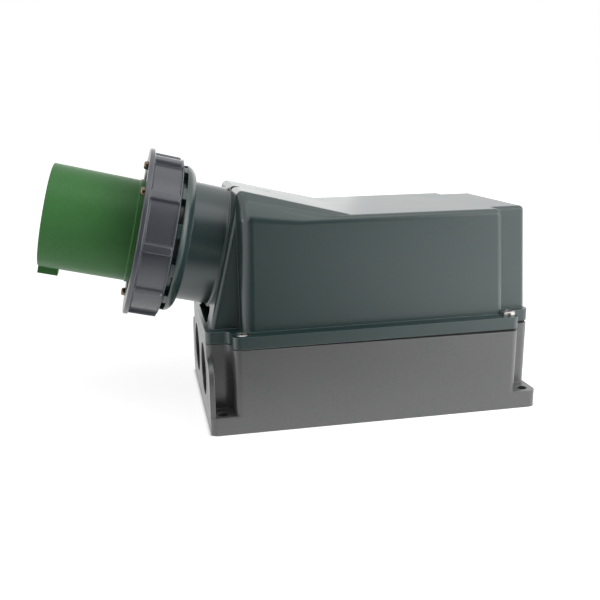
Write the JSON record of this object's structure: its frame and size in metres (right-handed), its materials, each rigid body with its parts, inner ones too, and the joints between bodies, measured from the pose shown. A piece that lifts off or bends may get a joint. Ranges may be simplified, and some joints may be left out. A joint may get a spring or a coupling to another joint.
{
  "type": "wall mounted appliance inlet",
  "caption": "Grey wall box with an angled neck that carries a green shrouded set of power contacts and a turning bayonet ring; cables enter through the end wall.",
  "frame": {"origin": "centre of the four wall holes, on the back plane that meets the wall", "axes": "+Z away from the wall; X along the base, with the inlet towards -X; Y across the base"},
  "size_m": [0.3441, 0.142, 0.1854],
  "materials": {
    "base_plastic": "fine satin moulding",
    "cover_plastic": "fine satin moulding",
    "ring_plastic": "satin moulding",
    "sleeve_plastic": "satin moulding",
    "carrier_plastic": "matt moulding",
    "seal_rubber": "matt",
    "screw_steel": "bright plated",
    "pin_brass": "turned"
  },
  "bodies": {
    "casing": {"base_housing": "base_plastic", "cover_housing": "cover_plastic", "cover_gasket": "seal_rubber", "cover_screws": "screw_steel", "sleeve": "sleeve_plastic", "sleeve_screws": "screw_steel", "sleeve_seal": "seal_rubber", "face_gasket": "seal_rubber", "contact_carrier": "carrier_plastic", "pin_retainer": "carrier_plastic", "carrier_screws": "screw_steel", "pin_l1": "pin_brass", "pin_l2": "pin_brass", "pin_l3": "pin_brass", "pin_neutral": "pin_brass", "pin_earth": "pin_brass", "pin_pilot": "pin_brass", "terminal_screws": "screw_steel"},
    "ring": {"bayonet_ring": "ring_plastic", "upper_cam": "screw_steel", "lower_cam": "screw_steel", "cam_screws": "screw_steel"}
  },
  "joints": [
    {"name": "ring_turn", "type": "hinge", "parent": "casing", "child": "ring", "pos_m": [-0.14611, 0, 0.12592], "axis": [-0.974, 0, 0.2267], "range_deg": [0, 40]}
  ]
}
